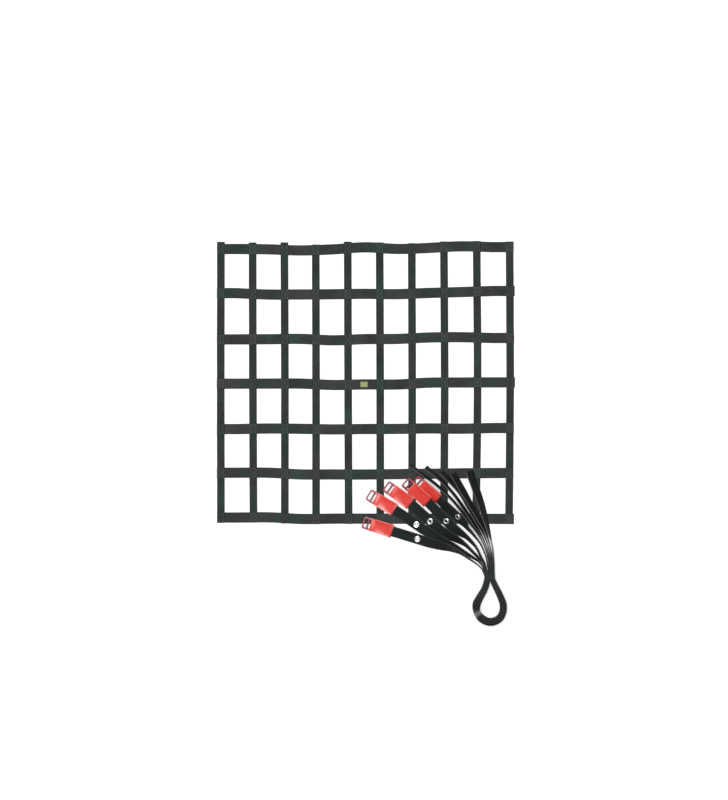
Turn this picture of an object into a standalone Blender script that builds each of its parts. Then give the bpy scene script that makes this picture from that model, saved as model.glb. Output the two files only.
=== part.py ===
"""A webbing safety net lying flat, with its five fastening straps laid over one corner.

Seventeen straps cross over and under each other as a lattice of 54 openings. The five fastening
straps are gathered on edge into one loop below the net. On the left of the loop they fan out to
their eyelets and red end buckles, on the right to their cut tails. X runs to the right, Y up the
net, and Z away from the surface that it lies on.
"""
import math
from collections import namedtuple

import bmesh
import bpy
from mathutils import Matrix, Vector

MM = 0.001
GAP = 0.3 * MM

# The lattice of the net
UPRIGHT_WIDTH = 26 * MM
RUNG_WIDTH = 35 * MM
NET_THICKNESS = 2 * MM
NET_CENTRE = Vector((-0.0023, 0.1674, 0))
CROSSING_MARGIN = 4 * MM
LAYER_RISE = NET_THICKNESS + GAP
END_OVERLAP = 0.5 * MM

# A fastening strap and what is fitted on it
STRAP_WIDTH = 35 * MM
STRAP_THICKNESS = 2.6 * MM
STRAP_STEP = 12.5 * MM
HEAD_LENGTH = 108 * MM
EYELET_FROM_BUCKLE = 88 * MM
EYELET_HOLE = 4.9 * MM
EYELET_BARREL = 6.2 * MM
EYELET_FLANGE = 10 * MM
EYELET_FLANGE_THICKNESS = 1 * MM
EYELET_CHAMFER = 0.5 * MM
EYELET_SIDES = 20

# The moulded end buckle
BUCKLE_LENGTH = 104 * MM
BUCKLE_WIDTH = 45 * MM
BUCKLE_TIP_WIDTH = 41 * MM
BUCKLE_THICKNESS = 5.5 * MM
BUCKLE_TIP_RADIUS = 6.5 * MM
BUCKLE_WAIST = 0.97
BUCKLE_BEVEL = 0.8 * MM
SLOT_WIDTH = 29 * MM
OUTER_SLOT = 10 * MM
OUTER_SLOT_FROM_TIP = 5 * MM
INNER_SLOT = 5.5 * MM
SLOT_BAR = 6 * MM
SLOT_CORNER = 2 * MM
PANEL_WIDTH = 38 * MM
PANEL_LENGTH = 50 * MM
PANEL_DEPTH = 0.7 * MM
PANEL_FROM_REAR = 10 * MM
POCKET_DEPTH = 10 * MM
POCKET_WIDTH = 40 * MM
POCKET_HEIGHT = STRAP_THICKNESS + 0.8 * MM
STRAP_IN_POCKET = 5 * MM

# The sewn label
LABEL_LENGTH = 27 * MM
LABEL_WIDTH = 20 * MM
LABEL_THICKNESS = 0.6 * MM
LABEL_X = -4 * MM

# Straps are read off the photograph: pixels right and down from the net's centre
PIXEL = 3.37 * MM
PHOTO_NET_CENTRE = (365.2, 383.4)

# Height of a buckle's lowest edge above the floor where it lies on the net
BUCKLE_ON_NET = 4.9 * MM
ON_FLOOR = 0.2 * MM

# Uprights from left to right, in millimetres: place across the net, how far the strap sways
# from it at the top, the middle and the bottom, and how far its end stands over the top rung
Upright = namedtuple("Upright", "x top middle bottom stub")
UPRIGHTS = [
    Upright(-486.0, 0.0, -0.7, 0.0, 6.5),
    Upright(-378.0, -1.3, -0.3, 1.7, 5.0),
    Upright(-270.5, -1.7, 0.0, -0.3, 8.0),
    Upright(-165.5, -1.0, 0.0, 0.0, 1.5),
    Upright(-57.5, -1.3, 0.0, 1.7, 4.5),
    Upright(50.5, -1.7, 0.0, 0.3, 1.5),
    Upright(158.0, -1.0, 0.3, -0.3, 1.0),
    Upright(266.0, -0.7, 1.7, -0.7, 1.5),
    Upright(375.0, 0.7, 3.7, -1.3, 1.0),
    Upright(486.0, 0.7, 2.4, -1.3, 1.5),
]

# Rungs from top to bottom, in millimetres: place up the net, how far the strap's end stands
# past the last upright, and how far the strap lies above its place in each bay between uprights
Rung = namedtuple("Rung", "y past bays")
RUNGS = [
    Rung(454.0, 0.5, (-1.3, -2.4, -6.1, -2.4, 4.4, -1.0, 2.4, 7.8, 5.1)),
    Rung(303.0, 3.4, (1.0, -3.7, -3.4, -2.7, -1.3, -2.4, 1.7, 4.7, 8.4)),
    Rung(149.5, 0.5, (-1.3, -0.7, 0.3, -4.4, -0.3, 0.3, 5.1, 6.1, 3.4)),
    Rung(0.0, 3.4, (-1.0, -0.7, -0.7, -5.4, -3.4, -3.7, 2.4, 3.0, 3.4)),
    Rung(-153.0, 0.5, (-1.0, 1.0, 0.0, -2.0, -0.7, -0.3, 1.3, 0.3, 2.7)),
    Rung(-304.0, 0.5, (3.0, 3.0, -2.7, -2.7, -3.0, -1.7, -0.5, 1.0, 2.0)),
    Rung(-454.0, 3.4, (2.0, 2.7, -2.7, -1.7, -1.7, -2.0, -2.0, -2.2, -2.4)),
]
LABEL_RUNG = 3

# Heads of the fastening straps, lowest first: the eyelet's pixel, how many degrees the strap and
# the buckle point below the horizontal, and how far the head is turned up towards the next strap
Head = namedtuple("Head", "px py strap_slope buckle_slope roll")
HEADS = [
    Head(417.3, 538.8, 17.0, 17.5, 8.0),
    Head(416.3, 524.4, 34.0, 31.0, 7.0),
    Head(430.0, 521.0, 42.0, 36.0, 11.0),
    Head(446.0, 520.7, 46.0, 41.5, 21.0),
    Head(457.5, 516.5, 42.5, 40.0, 35.0),
]

# Each strap from its head down to the neck of the loop: pixel, degrees that it is turned from
# lying flat towards standing on edge, and height of its lower edge in millimetres
Stop = namedtuple("Stop", "px py roll lift")
HEAD_STOPS = [
    [
        Stop(431.0, 543.0, 13, 4.5),
        Stop(440.5, 545.4, 27, 2.0),
        Stop(450.5, 548.2, 50, 0.3),
        Stop(460.7, 552.6, 68, 0.0),
        Stop(471.0, 560.0, 81, 0.0),
        Stop(478.4, 565.3, 85, 0.0),
        Stop(482.6, 570.2, 86, 0.0),
    ],
    [
        Stop(429.0, 532.2, 13, 6.4),
        Stop(438.0, 538.3, 27, 4.0),
        Stop(447.0, 542.7, 44, 1.5),
        Stop(455.0, 546.4, 59, 0.0),
        Stop(463.0, 550.9, 72, 0.0),
        Stop(471.0, 556.2, 74, 0.0),
        Stop(478.0, 560.7, 79, 0.0),
        Stop(482.7, 566.6, 86, 0.0),
    ],
    [
        Stop(441.0, 530.2, 24, 6.4),
        Stop(449.3, 535.2, 35, 4.0),
        Stop(457.6, 539.6, 50, 1.5),
        Stop(464.4, 544.0, 67, 0.0),
        Stop(468.9, 548.0, 74, 0.0),
        Stop(472.8, 552.0, 76, 0.0),
        Stop(478.4, 557.6, 78, 0.0),
        Stop(483.5, 564.2, 86, 0.0),
    ],
    [
        Stop(455.3, 529.2, 30, 6.4),
        Stop(465.2, 536.0, 62, 3.0),
        Stop(471.3, 541.8, 72, 0.5),
        Stop(476.4, 548.0, 80, 0.0),
        Stop(480.6, 556.4, 82, 0.0),
        Stop(484.8, 563.8, 87, 0.0),
    ],
    [
        Stop(466.2, 526.6, 66, 6.4),
        Stop(473.5, 534.8, 78, 4.0),
        Stop(480.2, 543.8, 85, 1.0),
        Stop(484.3, 552.6, 87, 0.0),
        Stop(486.7, 561.0, 88, 0.0),
    ],
]

# Each strap's tail from the neck of the loop to its cut end
TAIL_STOPS = [
    [
        Stop(493.5, 562.0, 91, 0.0),
        Stop(492.6, 549.5, 90, 1.0),
        Stop(490.9, 540.0, 84, 3.5),
        Stop(488.2, 530.5, 69, 6.4),
        Stop(481.5, 506.0, 48, 6.4),
        Stop(475.7, 489.0, 40, 6.4),
        Stop(469.5, 471.0, 34, 6.4),
    ],
    [
        Stop(492.2, 562.0, 91, 0.0),
        Stop(490.6, 550.0, 90, 1.0),
        Stop(486.6, 535.5, 81, 6.4),
        Stop(480.6, 522.0, 66, 6.4),
        Stop(471.9, 507.0, 60, 6.4),
        Stop(462.6, 490.5, 52, 6.4),
        Stop(453.0, 473.8, 50, 6.4),
    ],
    [
        Stop(491.0, 562.0, 91, 0.0),
        Stop(488.9, 550.0, 90, 1.0),
        Stop(484.2, 535.8, 83, 6.4),
        Stop(477.0, 522.0, 70, 6.4),
        Stop(467.6, 505.5, 67, 6.4),
        Stop(458.4, 490.0, 64, 6.4),
        Stop(441.2, 471.6, 58, 6.4),
    ],
    [
        Stop(489.8, 562.0, 91, 0.0),
        Stop(487.2, 550.0, 90, 1.0),
        Stop(481.9, 536.5, 84, 6.4),
        Stop(473.6, 523.5, 73, 6.4),
        Stop(463.6, 508.0, 72, 6.4),
        Stop(452.4, 492.5, 75, 6.4),
        Stop(439.6, 479.0, 72, 6.4),
        Stop(425.5, 467.0, 65, 6.4),
    ],
    [
        Stop(488.5, 562.0, 91, 0.0),
        Stop(485.7, 550.0, 90, 1.0),
        Stop(479.6, 536.5, 85, 6.4),
        Stop(470.3, 523.2, 76, 6.4),
        Stop(459.2, 508.2, 76, 6.4),
        Stop(448.5, 496.0, 78, 6.4),
        Stop(435.4, 484.0, 76, 6.4),
        Stop(421.4, 473.5, 74, 6.4),
        Stop(410.3, 465.3, 70, 6.4),
    ],
]

# The loop that all five straps share: the middle strap's pixels, how many millimetres apart the
# straps stand there, and how many degrees their upper edges lean out from the loop
LoopStop = namedtuple("LoopStop", "px py pitch lean")
LOOP = [
    LoopStop(486.9, 577.0, 3.8, -1.5),
    LoopStop(486.4, 581.5, 4.2, -1.5),
    LoopStop(484.1, 589.0, 4.2, -2.0),
    LoopStop(479.4, 597.2, 4.9, -2.0),
    LoopStop(476.2, 604.2, 5.4, -3.0),
    LoopStop(476.6, 611.2, 4.9, -1.5),
    LoopStop(480.6, 617.2, 5.3, 4.0),
    LoopStop(487.0, 620.9, 5.4, 1.5),
    LoopStop(493.4, 621.0, 5.3, 1.0),
    LoopStop(499.4, 617.6, 5.0, 1.0),
    LoopStop(502.6, 611.0, 4.8, 1.5),
    LoopStop(502.6, 603.0, 4.7, 2.5),
    LoopStop(499.3, 594.4, 4.4, 3.0),
    LoopStop(495.7, 587.0, 4.0, 3.0),
    LoopStop(493.0, 581.0, 3.8, 1.5),
    LoopStop(492.0, 577.0, 3.5, 1.0),
]

NETTING_GREY = (0.048, 0.060, 0.057)
STRAP_BLACK = (0.013, 0.015, 0.015)
BUCKLE_RED = (0.80, 0.060, 0.045)
EYELET_NICKEL = (0.78, 0.78, 0.76)
LABEL_OLIVE = (0.33, 0.35, 0.16)


def clear_scene():
    for old in list(bpy.data.objects):
        bpy.data.objects.remove(old, do_unlink=True)


def make_material(name, colour, roughness, metallic=0.0):
    material = bpy.data.materials.new(name)
    material.use_nodes = True
    shader = material.node_tree.nodes["Principled BSDF"]
    shader.inputs["Base Color"].default_value = (*colour, 1)
    shader.inputs["Roughness"].default_value = roughness
    shader.inputs["Metallic"].default_value = metallic
    return material


def place_object(name, mesh, material, matrix=None):
    placed = bpy.data.objects.new(name, mesh)
    if not mesh.materials:
        mesh.materials.append(material)
    if matrix is not None:
        placed.matrix_world = matrix
    bpy.context.scene.collection.objects.link(placed)
    return placed


def smoothstep(t):
    t = min(max(t, 0.0), 1.0)
    return t * t * (3 - 2 * t)


def spline(points, t):
    """A Catmull-Rom curve through vectors, read at t from 0 to the last point's number."""
    last = len(points) - 1
    i = min(int(t), last - 1)
    u = t - i
    p1 = points[i]
    p2 = points[i + 1]
    p0 = points[i - 1] if i > 0 else p1 * 2 - p2
    p3 = points[i + 2] if i + 2 <= last else p2 * 2 - p1
    return (p1 * 2 + (p2 - p0) * u + (p0 * 2 - p1 * 5 + p2 * 4 - p3) * u ** 2
            + (p1 * 3 - p0 - p2 * 3 + p3) * u ** 3) / 2


def evenly_spaced(points, step):
    """Stations an even step apart along the curve through the points' first two values."""
    fine = 24
    dense = [spline(points, i / fine) for i in range(fine * (len(points) - 1) + 1)]
    along = [0.0]
    for before, after in zip(dense, dense[1:]):
        along.append(along[-1] + math.hypot(after[0] - before[0], after[1] - before[1]))
    count = round(along[-1] / step)
    stations = []
    i = 0
    for n in range(count + 1):
        target = along[-1] * n / count
        while i < len(dense) - 2 and along[i + 1] < target:
            i += 1
        share = (target - along[i]) / (along[i + 1] - along[i])
        stations.append(dense[i].lerp(dense[i + 1], min(share, 1.0)))
    return stations


def ribbon_mesh(name, sections, width, thickness, columns):
    """A flat ribbon swept along sections of (centre, across, normal), closed at both ends.

    Both faces are split along the same diagonal, so the ribbon keeps its thickness in a twist.
    """
    bm = bmesh.new()
    rings = []
    for centre, across, normal in sections:
        lift = normal * thickness / 2
        spots = [across * width * (c / columns - 0.5) for c in range(columns + 1)]
        ring = [bm.verts.new(centre + lift + spot) for spot in spots]
        ring += [bm.verts.new(centre - lift + spot) for spot in reversed(spots)]
        rings.append(ring)
    size = 2 * (columns + 1)
    for a, b in zip(rings, rings[1:]):
        for i in range(size):
            j = (i + 1) % size
            if i <= columns:
                bm.faces.new((a[i], a[j], b[j]))
                bm.faces.new((a[i], b[j], b[i]))
            else:
                bm.faces.new((a[i], a[j], b[i]))
                bm.faces.new((a[j], b[j], b[i]))
    bm.faces.new(list(reversed(rings[0])))
    bm.faces.new(rings[-1])
    bmesh.ops.recalc_face_normals(bm, faces=bm.faces)
    mesh = bpy.data.meshes.new(name)
    bm.to_mesh(mesh)
    bm.free()
    return mesh


def upright_x(i, y):
    """The centre of an upright, across the net, at a height y up the net."""
    row = UPRIGHTS[i]
    sways = [Vector((row.top, 0)), Vector((row.middle, 0)), Vector((row.bottom, 0))]
    t = (RUNGS[0].y * MM - y) / ((RUNGS[0].y - RUNGS[-1].y) * MM) * 2
    return (row.x + spline(sways, min(max(t, 0.0), 2.0))[0]) * MM


def rung_y(j, x):
    """The centre of a rung, up the net, at a place x across the net."""
    row = RUNGS[j]
    bays = [Vector((bay, 0)) for bay in row.bays]
    first = (UPRIGHTS[0].x + UPRIGHTS[1].x) / 2 * MM
    last = (UPRIGHTS[-2].x + UPRIGHTS[-1].x) / 2 * MM
    t = (x - first) / (last - first) * (len(bays) - 1)
    return (row.y + spline(bays, min(max(t, 0.0), len(bays) - 1))[0]) * MM


def upright_is_over(i, j):
    return (i + j) % 2 == 0


def weave_sections(start, end, crossings, half_width, centre_at):
    """Sections of a strap that lies flat at each crossing and rises or falls between them.

    A crossing is (place along the strap, True where this strap lies on top).
    """
    reach = half_width + CROSSING_MARGIN
    forward = 1 if end > start else -1
    stops = []
    for place, on_top in crossings:
        height = NET_THICKNESS / 2 + (LAYER_RISE if on_top else 0)
        stops += [(place - forward * reach, height), (place + forward * reach, height)]
    places = [(start, stops[0][1]), stops[1]]
    for before, after in zip(stops[1:-1:2], stops[2::2]):
        for share in (1 / 3, 2 / 3, 1):
            place = before[0] + (after[0] - before[0]) * share
            rise = before[1] + (after[1] - before[1]) * smoothstep(share)
            places.append((place, rise))
        places.append((after[0] + forward * 2 * reach, after[1]))
    places[-1] = (end, places[-1][1])
    centres = [centre_at(place, height) for place, height in places]
    return sections_along(centres)


def sections_along(centres):
    """Upright sections of a lattice strap: across it is level, its normal leans with its slope."""
    sections = []
    for i, centre in enumerate(centres):
        ahead = centres[min(i + 1, len(centres) - 1)] - centres[max(i - 1, 0)]
        across = Vector((0, 0, 1)).cross(ahead).normalized()
        sections.append((centre, across, Vector((0, 0, 1))))
    return sections


def upright_sections(i):
    crossings = []
    for j in range(len(RUNGS)):
        place = rung_y(j, UPRIGHTS[i].x * MM)
        crossings.append((place, upright_is_over(i, j)))
    top = crossings[0][0] + RUNG_WIDTH / 2 + UPRIGHTS[i].stub * MM
    bottom = crossings[-1][0] - RUNG_WIDTH / 2 - END_OVERLAP
    return weave_sections(
        top, bottom, crossings, RUNG_WIDTH / 2,
        lambda y, z: NET_CENTRE + Vector((upright_x(i, y), y, z)))


def rung_sections(j):
    crossings = []
    for i in range(len(UPRIGHTS)):
        place = upright_x(i, RUNGS[j].y * MM)
        crossings.append((place, not upright_is_over(i, j)))
    left = crossings[0][0] - UPRIGHT_WIDTH / 2 - END_OVERLAP
    right = crossings[-1][0] + UPRIGHT_WIDTH / 2 + RUNGS[j].past * MM
    return weave_sections(
        left, right, crossings, UPRIGHT_WIDTH / 2,
        lambda x, z: NET_CENTRE + Vector((x, rung_y(j, x), z)))


def make_net(material):
    for i in range(len(UPRIGHTS)):
        name = f"net_upright_{i + 1:02d}"
        mesh = ribbon_mesh(name, upright_sections(i), UPRIGHT_WIDTH, NET_THICKNESS, 1)
        place_object(name, mesh, material)
    for j in range(len(RUNGS)):
        name = f"net_rung_{j + 1:02d}"
        mesh = ribbon_mesh(name, rung_sections(j), RUNG_WIDTH, NET_THICKNESS, 1)
        place_object(name, mesh, material)


def make_label(material):
    """The label lies on the middle rung, on the slope that the strap has there."""
    left = LABEL_X - LABEL_LENGTH / 2
    rise = (NET_THICKNESS + LABEL_THICKNESS) / 2 + GAP
    centres = []
    for place in (left, LABEL_X, left + LABEL_LENGTH):
        x = NET_CENTRE.x + place
        sections = rung_sections(LABEL_RUNG)
        after = next(n for n, section in enumerate(sections) if section[0].x > x)
        a = sections[after - 1][0]
        b = sections[after][0]
        centre = a.lerp(b, (x - a.x) / (b.x - a.x))
        centres.append(centre + Vector((0, 0, rise)))
    mesh = ribbon_mesh("net_label", sections_along(centres), LABEL_WIDTH, LABEL_THICKNESS, 1)
    place_object("net_label", mesh, material)


def photo_point(px, py):
    x = (px - PHOTO_NET_CENTRE[0]) * PIXEL
    y = (PHOTO_NET_CENTRE[1] - py) * PIXEL
    return NET_CENTRE + Vector((x, y, 0))


def heading(degrees_below):
    angle = math.radians(degrees_below)
    return Vector((math.cos(angle), -math.sin(angle), 0))


def edge_frame(tangent, roll):
    """Across and normal of a strap that runs along tangent, turned up from flat by roll."""
    level = Vector((0, 0, 1)).cross(tangent).normalized()
    upward = tangent.cross(level)
    across = level * math.cos(roll) + upward * math.sin(roll)
    normal = tangent.cross(across)
    return across, normal


def centre_height(lift, roll, width, thickness):
    return lift + width / 2 * math.sin(roll) + thickness / 2 * math.cos(roll)


def buckle_swing(head):
    """The angle between strap and buckle, in the plane that both lie in."""
    return math.radians(head.strap_slope - head.buckle_slope)


def head_height(head):
    """Height of the strap's middle at the eyelet, with the buckle's lowest corner on the net."""
    roll = math.radians(head.roll)
    tip_drop = BUCKLE_LENGTH * math.sin(buckle_swing(head)) * math.sin(roll)
    return centre_height(BUCKLE_ON_NET, roll, BUCKLE_WIDTH, BUCKLE_THICKNESS) + max(tip_drop, 0)


def head_matrix(head, distance):
    """Places a piece modelled along +X at a distance past the eyelet, in the head's own plane."""
    tangent = heading(head.strap_slope)
    across, normal = edge_frame(tangent, math.radians(head.roll))
    eyelet = photo_point(head.px, head.py)
    eyelet.z = head_height(head)
    turn = Matrix((tangent, across, normal)).transposed().to_4x4()
    return Matrix.Translation(eyelet + tangent * distance) @ turn


def loop_points(k):
    """The strap's own line round the loop, beside the middle strap's."""
    middle = [photo_point(stop.px, stop.py) for stop in LOOP]
    points = []
    for i, stop in enumerate(LOOP):
        ahead = middle[min(i + 1, len(LOOP) - 1)] - middle[max(i - 1, 0)]
        outward = Vector((ahead.y, -ahead.x, 0)).normalized()
        spot = middle[i] + outward * (2 - k) * stop.pitch * MM
        points.append(Vector((spot.x, spot.y, math.radians(90 + stop.lean), 0)))
    return points


def stop_points(stops):
    points = []
    for stop in stops:
        spot = photo_point(stop.px, stop.py)
        points.append(Vector((spot.x, spot.y, math.radians(stop.roll), stop.lift * MM)))
    return points


def strap_sections(k):
    """The strap from its seam behind the eyelet, round the loop, to its cut tail."""
    head = HEADS[k]
    roll = math.radians(head.roll)
    lift = head_height(head) - centre_height(0, roll, STRAP_WIDTH, STRAP_THICKNESS)
    seam = HEAD_LENGTH - EYELET_FROM_BUCKLE - STRAP_IN_POCKET
    points = []
    for distance in (seam + GAP, seam + STRAP_STEP):
        spot = head_matrix(head, distance).translation
        points.append(Vector((spot.x, spot.y, roll, lift)))
    points += stop_points(HEAD_STOPS[k]) + loop_points(k) + stop_points(TAIL_STOPS[k])
    stations = evenly_spaced(points, STRAP_STEP)
    centres = []
    for x, y, roll, lift in stations:
        height = centre_height(max(lift, ON_FLOOR), roll, STRAP_WIDTH, STRAP_THICKNESS)
        centres.append(Vector((x, y, height)))
    sections = []
    for i, centre in enumerate(centres):
        ahead = centres[min(i + 1, len(centres) - 1)] - centres[max(i - 1, 0)]
        if i == 0:
            ahead = heading(head.strap_slope)
        across, normal = edge_frame(ahead.normalized(), stations[i][2])
        sections.append((centre, across, normal))
    return sections


def box_mesh(name, low, high):
    bm = bmesh.new()
    bmesh.ops.create_cube(bm, size=1)
    size = Vector(high) - Vector(low)
    middle = (Vector(high) + Vector(low)) / 2
    bmesh.ops.transform(bm, matrix=Matrix.Translation(middle) @ Matrix.Diagonal((*size, 1)),
                        verts=bm.verts)
    mesh = bpy.data.meshes.new(name)
    bm.to_mesh(mesh)
    bm.free()
    return mesh


def prism_mesh(name, outline, low, high):
    """A flat outline of (x, y) points, anticlockwise, carried up from low to high."""
    bm = bmesh.new()
    bottom = [bm.verts.new((x, y, low)) for x, y in outline]
    top = [bm.verts.new((x, y, high)) for x, y in outline]
    bm.faces.new(list(reversed(bottom)))
    bm.faces.new(top)
    for i in range(len(outline)):
        j = (i + 1) % len(outline)
        bm.faces.new((bottom[i], bottom[j], top[j], top[i]))
    mesh = bpy.data.meshes.new(name)
    bm.to_mesh(mesh)
    bm.free()
    return mesh


def cut_mesh(name, body, cutters):
    """The body's mesh with each cutter's mesh taken out of it."""
    block = bpy.data.objects.new(name + "_block", body)
    bpy.context.scene.collection.objects.link(block)
    tools = []
    for n, cutter in enumerate(cutters):
        tool = bpy.data.objects.new(f"{name}_cutter_{n}", cutter)
        tool.hide_render = True
        tool.display_type = 'WIRE'
        bpy.context.scene.collection.objects.link(tool)
        cut = block.modifiers.new(f"cut_{n}", 'BOOLEAN')
        cut.operation = 'DIFFERENCE'
        cut.solver = 'EXACT'
        cut.object = tool
        tools.append(tool)
    bpy.context.view_layer.update()
    depsgraph = bpy.context.evaluated_depsgraph_get()
    mesh = bpy.data.meshes.new_from_object(block.evaluated_get(depsgraph))
    mesh.name = name
    for helper in [block, *tools]:
        bpy.data.objects.remove(helper, do_unlink=True)
    return mesh


def rounded_rectangle(low, high, radius, steps):
    """The outline of a rectangle with round corners, anticlockwise from the lower right."""
    outline = []
    centres = ((high[0] - radius, low[1] + radius, -90), (high[0] - radius, high[1] - radius, 0),
               (low[0] + radius, high[1] - radius, 90), (low[0] + radius, low[1] + radius, 180))
    for x, y, start in centres:
        for step in range(steps + 1):
            angle = math.radians(start + 90 * step / steps)
            outline.append((x + radius * math.cos(angle), y + radius * math.sin(angle)))
    return outline


def buckle_outline():
    """From its rear face at x = 0 to its round tip at x = -BUCKLE_LENGTH, narrower there."""
    half = BUCKLE_WIDTH / 2
    tip_half = BUCKLE_TIP_WIDTH / 2
    radius = BUCKLE_TIP_RADIUS
    outline = [(0, -half), (0, half), (-BUCKLE_LENGTH / 2, half * BUCKLE_WAIST)]
    for side, start in ((1, 90), (-1, 180)):
        for step in range(5):
            angle = math.radians(start + 90 * step / 4)
            x = -BUCKLE_LENGTH + radius + radius * math.cos(angle)
            y = side * (tip_half - radius) + radius * math.sin(angle)
            outline.append((x, y))
    outline.append((-BUCKLE_LENGTH / 2, -half * BUCKLE_WAIST))
    return outline


def buckle_block():
    half = BUCKLE_THICKNESS / 2
    mesh = prism_mesh("buckle_block", buckle_outline(), -half, half)
    bm = bmesh.new()
    bm.from_mesh(mesh)
    rims = [edge for edge in bm.edges if abs(edge.verts[0].co.z - edge.verts[1].co.z) < GAP]
    bmesh.ops.bevel(bm, geom=rims, offset=BUCKLE_BEVEL, segments=1, affect='EDGES')
    bm.to_mesh(mesh)
    bm.free()
    return mesh


def buckle_mesh():
    """Two slots across the tip, a shallow panel on top and the strap's pocket at the rear."""
    through = BUCKLE_THICKNESS
    outer = -BUCKLE_LENGTH + OUTER_SLOT_FROM_TIP
    inner = outer + OUTER_SLOT + SLOT_BAR
    cutters = []
    for name, start, length in (("outer", outer, OUTER_SLOT), ("inner", inner, INNER_SLOT)):
        outline = rounded_rectangle(
            (start, -SLOT_WIDTH / 2), (start + length, SLOT_WIDTH / 2), SLOT_CORNER, 2)
        cutters.append(prism_mesh(f"{name}_slot", outline, -through, through))
    cutters.append(box_mesh(
        "panel",
        (-PANEL_FROM_REAR - PANEL_LENGTH, -PANEL_WIDTH / 2, BUCKLE_THICKNESS / 2 - PANEL_DEPTH),
        (-PANEL_FROM_REAR, PANEL_WIDTH / 2, BUCKLE_THICKNESS)))
    cutters.append(box_mesh(
        "pocket",
        (-POCKET_DEPTH, -POCKET_WIDTH / 2, -POCKET_HEIGHT / 2),
        (POCKET_DEPTH, POCKET_WIDTH / 2, POCKET_HEIGHT / 2)))
    return cut_mesh("buckle", buckle_block(), cutters)


def head_mesh():
    """The flat stretch of strap that holds the eyelet, cut out for the eyelet's barrel."""
    start = -EYELET_FROM_BUCKLE - STRAP_IN_POCKET
    half = STRAP_THICKNESS / 2
    body = box_mesh("head_block", (start, -STRAP_WIDTH / 2, -half),
                    (start + HEAD_LENGTH, STRAP_WIDTH / 2, half))
    radius = EYELET_BARREL + GAP
    circle = []
    for n in range(EYELET_SIDES):
        angle = 2 * math.pi * n / EYELET_SIDES
        circle.append((radius * math.cos(angle), radius * math.sin(angle)))
    return cut_mesh("strap_head", body, [prism_mesh("hole", circle, -half * 3, half * 3)])


def eyelet_mesh():
    """A barrel through the strap with a flange on each side, turned about its axis."""
    inner = STRAP_THICKNESS / 2 + GAP
    outer = inner + EYELET_FLANGE_THICKNESS
    flat = EYELET_FLANGE - EYELET_CHAMFER
    profile = [
        (EYELET_HOLE, -outer), (flat, -outer), (EYELET_FLANGE, -outer + EYELET_CHAMFER),
        (EYELET_FLANGE, -inner), (EYELET_BARREL, -inner), (EYELET_BARREL, inner),
        (EYELET_FLANGE, inner), (EYELET_FLANGE, outer - EYELET_CHAMFER), (flat, outer),
        (EYELET_HOLE, outer),
    ]
    bm = bmesh.new()
    rings = []
    for n in range(EYELET_SIDES):
        angle = 2 * math.pi * n / EYELET_SIDES
        rings.append([bm.verts.new((r * math.cos(angle), r * math.sin(angle), z))
                      for r, z in profile])
    for n in range(EYELET_SIDES):
        a = rings[n]
        b = rings[(n + 1) % EYELET_SIDES]
        for i in range(len(profile)):
            j = (i + 1) % len(profile)
            bm.faces.new((a[i], b[i], b[j], a[j]))
    bmesh.ops.recalc_face_normals(bm, faces=bm.faces)
    mesh = bpy.data.meshes.new("eyelet")
    bm.to_mesh(mesh)
    bm.free()
    mesh.shade_smooth()
    mesh.set_sharp_from_angle(angle=math.radians(40))
    return mesh


def make_straps(strap_material, buckle_material, eyelet_material):
    buckle = buckle_mesh()
    strap_head = head_mesh()
    eyelet = eyelet_mesh()
    for k, head in enumerate(HEADS):
        number = k + 1
        name = f"strap_{number}"
        mesh = ribbon_mesh(name, strap_sections(k), STRAP_WIDTH, STRAP_THICKNESS, 2)
        place_object(name, mesh, strap_material)
        at_eyelet = head_matrix(head, 0)
        place_object(f"strap_head_{number}", strap_head, strap_material, at_eyelet)
        place_object(f"eyelet_{number}", eyelet, eyelet_material, at_eyelet)
        swing = Matrix.Rotation(buckle_swing(head), 4, 'Z')
        at_buckle = head_matrix(head, -EYELET_FROM_BUCKLE) @ swing
        place_object(f"buckle_{number}", buckle, buckle_material, at_buckle)


def main():
    clear_scene()
    netting = make_material("net_webbing", NETTING_GREY, 0.85)
    strapping = make_material("strap_webbing", STRAP_BLACK, 0.8)
    moulding = make_material("buckle_plastic", BUCKLE_RED, 0.4)
    nickel = make_material("eyelet_metal", EYELET_NICKEL, 0.3, 1.0)
    label = make_material("label_cloth", LABEL_OLIVE, 0.9)
    make_net(netting)
    make_label(label)
    make_straps(strapping, moulding, nickel)


main()
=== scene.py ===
"""The looks of a webbing safety net and its five fastening straps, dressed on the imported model.

The net is seventeen straps of ribbed webbing that cross over and under each other and are
stitched where they cross. Each fastening strap is one length of webbing, from its red end buckle
past its eyelet and round the shared loop to its cut tail. All of them follow the routes of the
solids that they replace. Lengths are in metres, X runs right, Y up the net and Z off the floor.
"""
import math
from collections import namedtuple

import bmesh
import bpy
from mathutils import Matrix, Vector


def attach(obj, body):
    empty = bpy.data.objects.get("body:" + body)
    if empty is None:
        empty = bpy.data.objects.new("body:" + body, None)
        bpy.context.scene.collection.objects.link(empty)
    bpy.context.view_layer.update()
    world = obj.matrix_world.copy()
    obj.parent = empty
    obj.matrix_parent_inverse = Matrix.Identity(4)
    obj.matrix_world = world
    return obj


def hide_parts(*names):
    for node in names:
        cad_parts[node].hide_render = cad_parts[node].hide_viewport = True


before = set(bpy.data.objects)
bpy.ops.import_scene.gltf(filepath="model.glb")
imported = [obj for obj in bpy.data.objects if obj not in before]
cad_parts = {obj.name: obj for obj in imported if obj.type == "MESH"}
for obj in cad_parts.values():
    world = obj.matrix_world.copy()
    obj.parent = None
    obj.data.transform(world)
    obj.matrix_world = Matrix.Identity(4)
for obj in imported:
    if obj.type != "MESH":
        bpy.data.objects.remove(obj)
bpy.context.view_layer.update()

MM = 0.001
GAP = 0.3 * MM
BODY = "root"
UP = Vector((0, 0, 1))
DOWN = Vector((0, 0, -1))
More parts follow.
